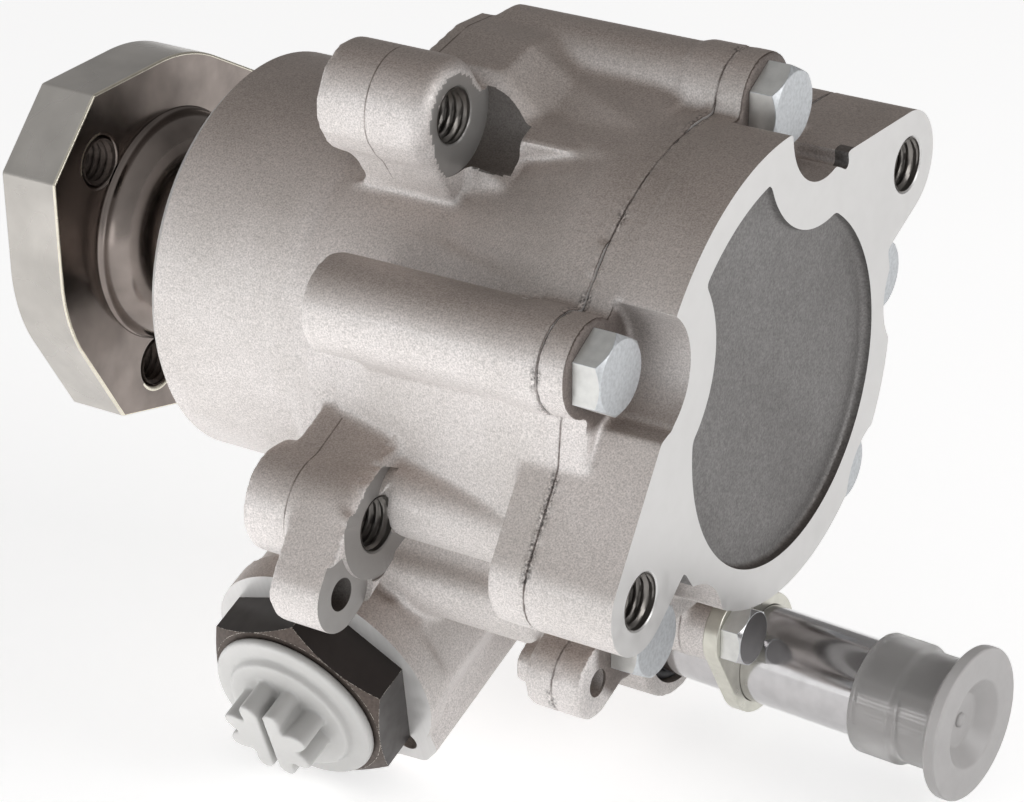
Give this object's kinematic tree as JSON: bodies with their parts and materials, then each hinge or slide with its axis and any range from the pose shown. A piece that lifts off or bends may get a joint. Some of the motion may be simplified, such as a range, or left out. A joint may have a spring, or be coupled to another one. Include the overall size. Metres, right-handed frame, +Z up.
{
  "type": "power steering pump",
  "caption": "Vane pump in a cast housing with a rear cover, a three-hole pulley hub, threaded mounting ears, a hexagon pressure union and a suction tube, both closed by transit caps.",
  "frame": {"origin": "on the shaft axis at the machined rear face of the cover", "axes": "+X along the shaft out of the rear cover, +Z up, the pulley hub towards -X"},
  "size_m": [0.1826, 0.1217, 0.1343],
  "materials": {
    "cast_aluminium": "sand cast, grit blasted, machined on its faces",
    "zinc_steel": "bright zinc",
    "dark_steel": "turned, polished dark",
    "black_oxide": "black oxide, worn edges",
    "white_plastic": "milky moulded plastic",
    "clear_plastic": "milky, lets the metal show through",
    "bright_tube": "bright drawn steel",
    "plate_steel": "zinc with an olive tint",
    "plain_steel": "ground",
    "cage_plastic": "moulded",
    "bush_bronze": "plain",
    "seal_rubber": "smooth"
  },
  "bodies": {
    "pump_body": {"housing": "cast_aluminium", "rear_cover": "cast_aluminium", "cover_bolts": "zinc_steel", "cam_ring": "plain_steel", "rear_plate": "plain_steel", "pressure_plate": "plain_steel", "plate_o_ring": "seal_rubber", "cover_o_ring": "seal_rubber", "plate_spring": "plain_steel", "locating_pins": "plain_steel", "bearing_outer_ring": "plain_steel", "bearing_circlip": "plain_steel", "shaft_seal": "seal_rubber", "rear_bush": "bush_bronze", "pressure_union": "black_oxide", "union_seal_ring": "seal_rubber", "port_plug": "white_plastic", "valve_spring": "plain_steel", "gallery_plug": "plain_steel", "suction_tube": "bright_tube", "suction_flange": "plate_steel", "suction_o_ring": "seal_rubber", "suction_bolt": "zinc_steel", "suction_cap": "clear_plastic"},
    "shaft": {"drive_shaft": "plain_steel", "pulley_hub": "dark_steel", "rotor": "plain_steel", "rotor_circlip": "plain_steel", "bearing_inner_ring": "plain_steel"},
    "ball_cage": {"bearing_cage": "cage_plastic", "bearing_balls": "plain_steel"},
    "valve_spool": {"valve_spool": "plain_steel"},
    "vane_01": {"vane_01": "plain_steel"},
    "vane_02": {"vane_02": "plain_steel"},
    "vane_03": {"vane_03": "plain_steel"},
    "vane_04": {"vane_04": "plain_steel"},
    "vane_05": {"vane_05": "plain_steel"},
    "vane_06": {"vane_06": "plain_steel"},
    "vane_07": {"vane_07": "plain_steel"},
    "vane_08": {"vane_08": "plain_steel"},
    "vane_09": {"vane_09": "plain_steel"},
    "vane_10": {"vane_10": "plain_steel"}
  },
  "joints": [
    {"name": "shaft_turn", "type": "hinge", "parent": "pump_body", "child": "shaft", "pos_m": [0, 0, 0], "axis": [1, 0, 0], "continuous": true},
    {"name": "ball_cage_turn", "type": "hinge", "parent": "pump_body", "child": "ball_cage", "pos_m": [0, 0, 0], "axis": [1, 0, 0], "continuous": true},
    {"name": "vane_01_slide", "type": "slide", "parent": "shaft", "child": "vane_01", "axis": [0, 0.9511, 0.309], "range_m": [0, 0.00302]},
    {"name": "vane_02_slide", "type": "slide", "parent": "shaft", "child": "vane_02", "axis": [0, 0.5878, 0.809], "range_m": [0, 0.00131]},
    {"name": "vane_03_slide", "type": "slide", "parent": "shaft", "child": "vane_03", "axis": [0, 0, 1], "range_m": [0, 0.00053]},
    {"name": "vane_04_slide", "type": "slide", "parent": "shaft", "child": "vane_04", "axis": [0, -0.5878, 0.809], "range_m": [0, 0.00131]},
    {"name": "vane_05_slide", "type": "slide", "parent": "shaft", "child": "vane_05", "axis": [0, -0.9511, 0.309], "range_m": [0, 0.00302]},
    {"name": "vane_06_slide", "type": "slide", "parent": "shaft", "child": "vane_06", "axis": [0, -0.9511, -0.309], "range_m": [0, 0.00302]},
    {"name": "vane_07_slide", "type": "slide", "parent": "shaft", "child": "vane_07", "axis": [0, -0.5878, -0.809], "range_m": [0, 0.00131]},
    {"name": "vane_08_slide", "type": "slide", "parent": "shaft", "child": "vane_08", "axis": [0, 0, -1], "range_m": [0, 0.00053]},
    {"name": "vane_09_slide", "type": "slide", "parent": "shaft", "child": "vane_09", "axis": [0, 0.5878, -0.809], "range_m": [0, 0.00131]},
    {"name": "vane_10_slide", "type": "slide", "parent": "shaft", "child": "vane_10", "axis": [0, 0.9511, -0.309], "range_m": [0, 0.00302]},
    {"name": "valve_spool_slide", "type": "slide", "parent": "pump_body", "child": "valve_spool", "axis": [0, 0.9311, 0.3649], "range_m": [0, 0.008], "stiffness_N_per_m": 900, "springref_m": -0.002, "deforming": ["valve_spring"]}
  ],
  "couplings": [
    {"joint": "ball_cage_turn", "follows": "shaft_turn", "ratio": 0.3843}
  ]
}
